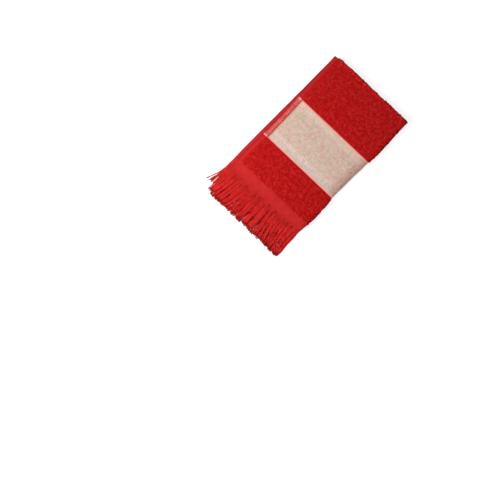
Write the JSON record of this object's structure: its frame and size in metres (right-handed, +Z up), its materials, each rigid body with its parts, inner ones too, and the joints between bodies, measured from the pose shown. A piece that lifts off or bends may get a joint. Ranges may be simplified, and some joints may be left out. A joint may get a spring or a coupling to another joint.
{
  "type": "folded fringed towel",
  "caption": "Small terry guest towel folded in four layers, with a flat woven band near its fringed ends.",
  "frame": {"origin": "middle of the box around the folded towel, on the surface that it lies on", "axes": "+X towards the lengthwise fold, +Y towards the end fold (the fringes lie at -Y), +Z up"},
  "size_m": [0.1638, 0.2873, 0.0138],
  "materials": {
    "terry": "looped cotton pile, matt",
    "fringe_yarn": "loose twisted cotton yarn, matt",
    "canvas_band": "flat woven cream cotton with fine red specks, matt",
    "flat_weave": "flat woven red cotton of headers and selvedges, matt"
  },
  "bodies": {
    "root": {"towel_cloth": "terry", "band_end_fringe": "fringe_yarn", "plain_end_fringe": "fringe_yarn"}
  },
  "joints": []
}
